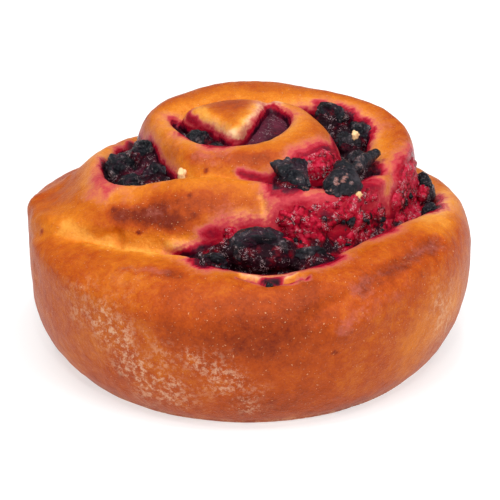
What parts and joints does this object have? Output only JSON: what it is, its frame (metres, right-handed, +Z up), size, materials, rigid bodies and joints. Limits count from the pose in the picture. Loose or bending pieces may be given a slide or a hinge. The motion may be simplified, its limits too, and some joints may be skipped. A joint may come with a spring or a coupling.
{
  "type": "pastry swirl",
  "caption": "Round baked swirl of sweet yeast dough, wound into a domed spiral with berry filling showing between its turns; a single serving that rests on its flat base.",
  "frame": {"origin": "middle of the flat underside, on the surface that the bun stands on", "axes": "+Z up through the knob in the middle of the swirl, -Y towards the front, where the widest open pocket is, +X to the right seen from the front"},
  "size_m": [0.1106, 0.1108, 0.0569],
  "materials": {
    "crust": "golden-brown baked crust with a thin satin egg-wash sheen",
    "filling": "wet, dark crimson to purple berry jam",
    "berry": "blue-black wrinkled berry skin, partly wet"
  },
  "bodies": {
    "root": {"dough_swirl": "crust", "berry_filling": "filling", "berry_front_big": "berry", "berry_front_left": "berry", "berry_front_right": "berry", "berry_left_outer": "berry", "berry_left_upright": "berry", "berry_left_lower": "berry", "berry_left_inner": "berry", "berry_middle_left": "berry", "berry_middle_front": "berry", "berry_back_folded": "berry", "berry_back_outer": "berry", "berry_back_inner": "berry", "berry_back_low": "berry", "berry_skin_long": "berry", "berry_right_open": "berry", "berry_front_shrivelled": "berry", "berry_side_upper": "berry", "berry_side_lower": "berry"}
  },
  "joints": []
}
